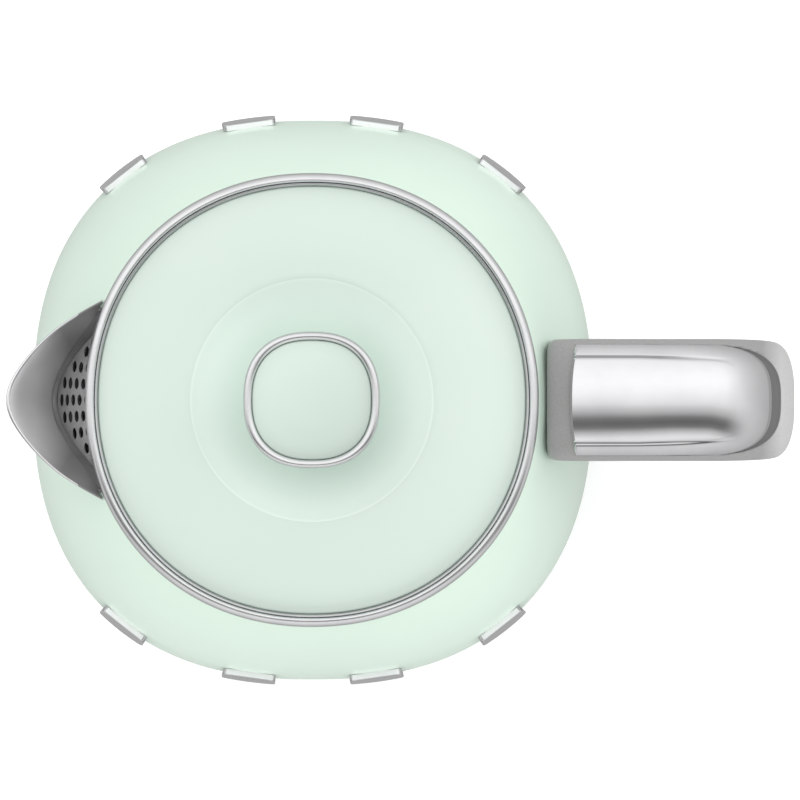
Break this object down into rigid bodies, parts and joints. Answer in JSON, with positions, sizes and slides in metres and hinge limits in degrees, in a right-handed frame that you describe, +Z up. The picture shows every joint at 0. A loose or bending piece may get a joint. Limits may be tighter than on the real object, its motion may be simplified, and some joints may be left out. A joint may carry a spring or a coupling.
{
  "type": "electric kettle",
  "caption": "Compact jug kettle with a rounded-square enamelled body, domed lift-off lid and knob, open pouring beak, D-shaped handle with plated cap, and a round swivel power base.",
  "frame": {"origin": "on the jug's axis at the table, the centre of the middle rubber foot's underside", "axes": "+Z up, +X towards the handle, -X towards the pouring beak, +Y the left side when facing along +X; the XZ plane is the plane of symmetry"},
  "size_m": [0.2226, 0.1624, 0.1948],
  "materials": {
    "enamel": "smooth pale mint gloss",
    "chrome_trim": "polished plating",
    "spout_steel": "fine satin inside and out",
    "strainer_steel": "fine perforated sheet",
    "brushed_steel": "fine circular brushing",
    "handle_plastic": "silver-grey satin moulding",
    "grey_plastic": "fine grained moulding",
    "dark_plastic": "fine grained moulding",
    "foot_rubber": "matt",
    "silicone": "translucent matt",
    "brass": "plain",
    "aluminium": "rolled",
    "plain_steel": "plain"
  },
  "bodies": {
    "power_base": {"base_housing": "grey_plastic", "base_trim_ring": "brushed_steel", "base_cover": "dark_plastic", "connector_post": "dark_plastic", "post_pin": "brass", "post_contact_ring": "brass", "cord_gland": "dark_plastic", "centre_foot": "foot_rubber", "foot_1": "foot_rubber", "foot_2": "foot_rubber", "foot_3": "foot_rubber", "foot_4": "foot_rubber", "base_screw_1": "plain_steel", "base_screw_2": "plain_steel", "base_screw_3": "plain_steel"},
    "socket": {"connector_socket": "dark_plastic"},
    "jug": {"body_shell": "enamel", "neck_ring": "chrome_trim", "spout_beak": "spout_steel", "strainer_clip_left": "strainer_steel", "strainer_clip_right": "strainer_steel", "handle_core": "handle_plastic", "handle_cap": "chrome_trim", "upper_bracket": "plain_steel", "lower_bracket": "plain_steel", "handle_screw_upper": "plain_steel", "handle_screw_lower": "plain_steel", "trim_tile_left_1": "chrome_trim", "trim_tile_right_1": "chrome_trim", "trim_tile_left_2": "chrome_trim", "trim_tile_right_2": "chrome_trim", "trim_tile_left_3": "chrome_trim", "trim_tile_right_3": "chrome_trim", "trim_tile_left_4": "chrome_trim", "trim_tile_right_4": "chrome_trim", "heated_floor": "brushed_steel", "floor_seal": "silicone", "heat_spreader": "aluminium", "heating_element": "plain_steel", "control_housing": "dark_plastic", "bimetal_disc": "brass", "skirt_ring": "brushed_steel", "bottom_cover": "grey_plastic", "cover_screw_1": "plain_steel", "cover_screw_2": "plain_steel", "cover_screw_3": "plain_steel", "switch_pivot": "plain_steel"},
    "strainer": {"strainer_plate": "strainer_steel", "strainer_frame": "strainer_steel"},
    "lever": {"switch_lever": "chrome_trim"},
    "lid": {"lid_cover": "enamel", "lid_ring": "chrome_trim", "lid_plug": "brushed_steel", "lid_seal": "silicone", "knob_base": "enamel", "knob_ring": "chrome_trim", "knob_cap": "enamel", "knob_screw": "plain_steel"}
  },
  "joints": [
    {"name": "jug_lift", "type": "slide", "parent": "power_base", "child": "socket", "axis": [0, 0, 1], "range_m": [0, 0.1]},
    {"name": "jug_swivel", "type": "hinge", "parent": "socket", "child": "jug", "pos_m": [0, 0, 0.03], "axis": [0, 0, 1], "continuous": true},
    {"name": "lid_lift", "type": "slide", "parent": "jug", "child": "lid", "axis": [0, 0, 1], "range_m": [0, 0.08]},
    {"name": "strainer_unclip", "type": "slide", "parent": "jug", "child": "strainer", "axis": [1, 0, 0], "range_m": [0, 0.016]},
    {"name": "switch_tilt", "type": "hinge", "parent": "jug", "child": "lever", "pos_m": [0.061, 0, 0.0245], "axis": [0, 1, 0], "range_deg": [0, 12]}
  ]
}
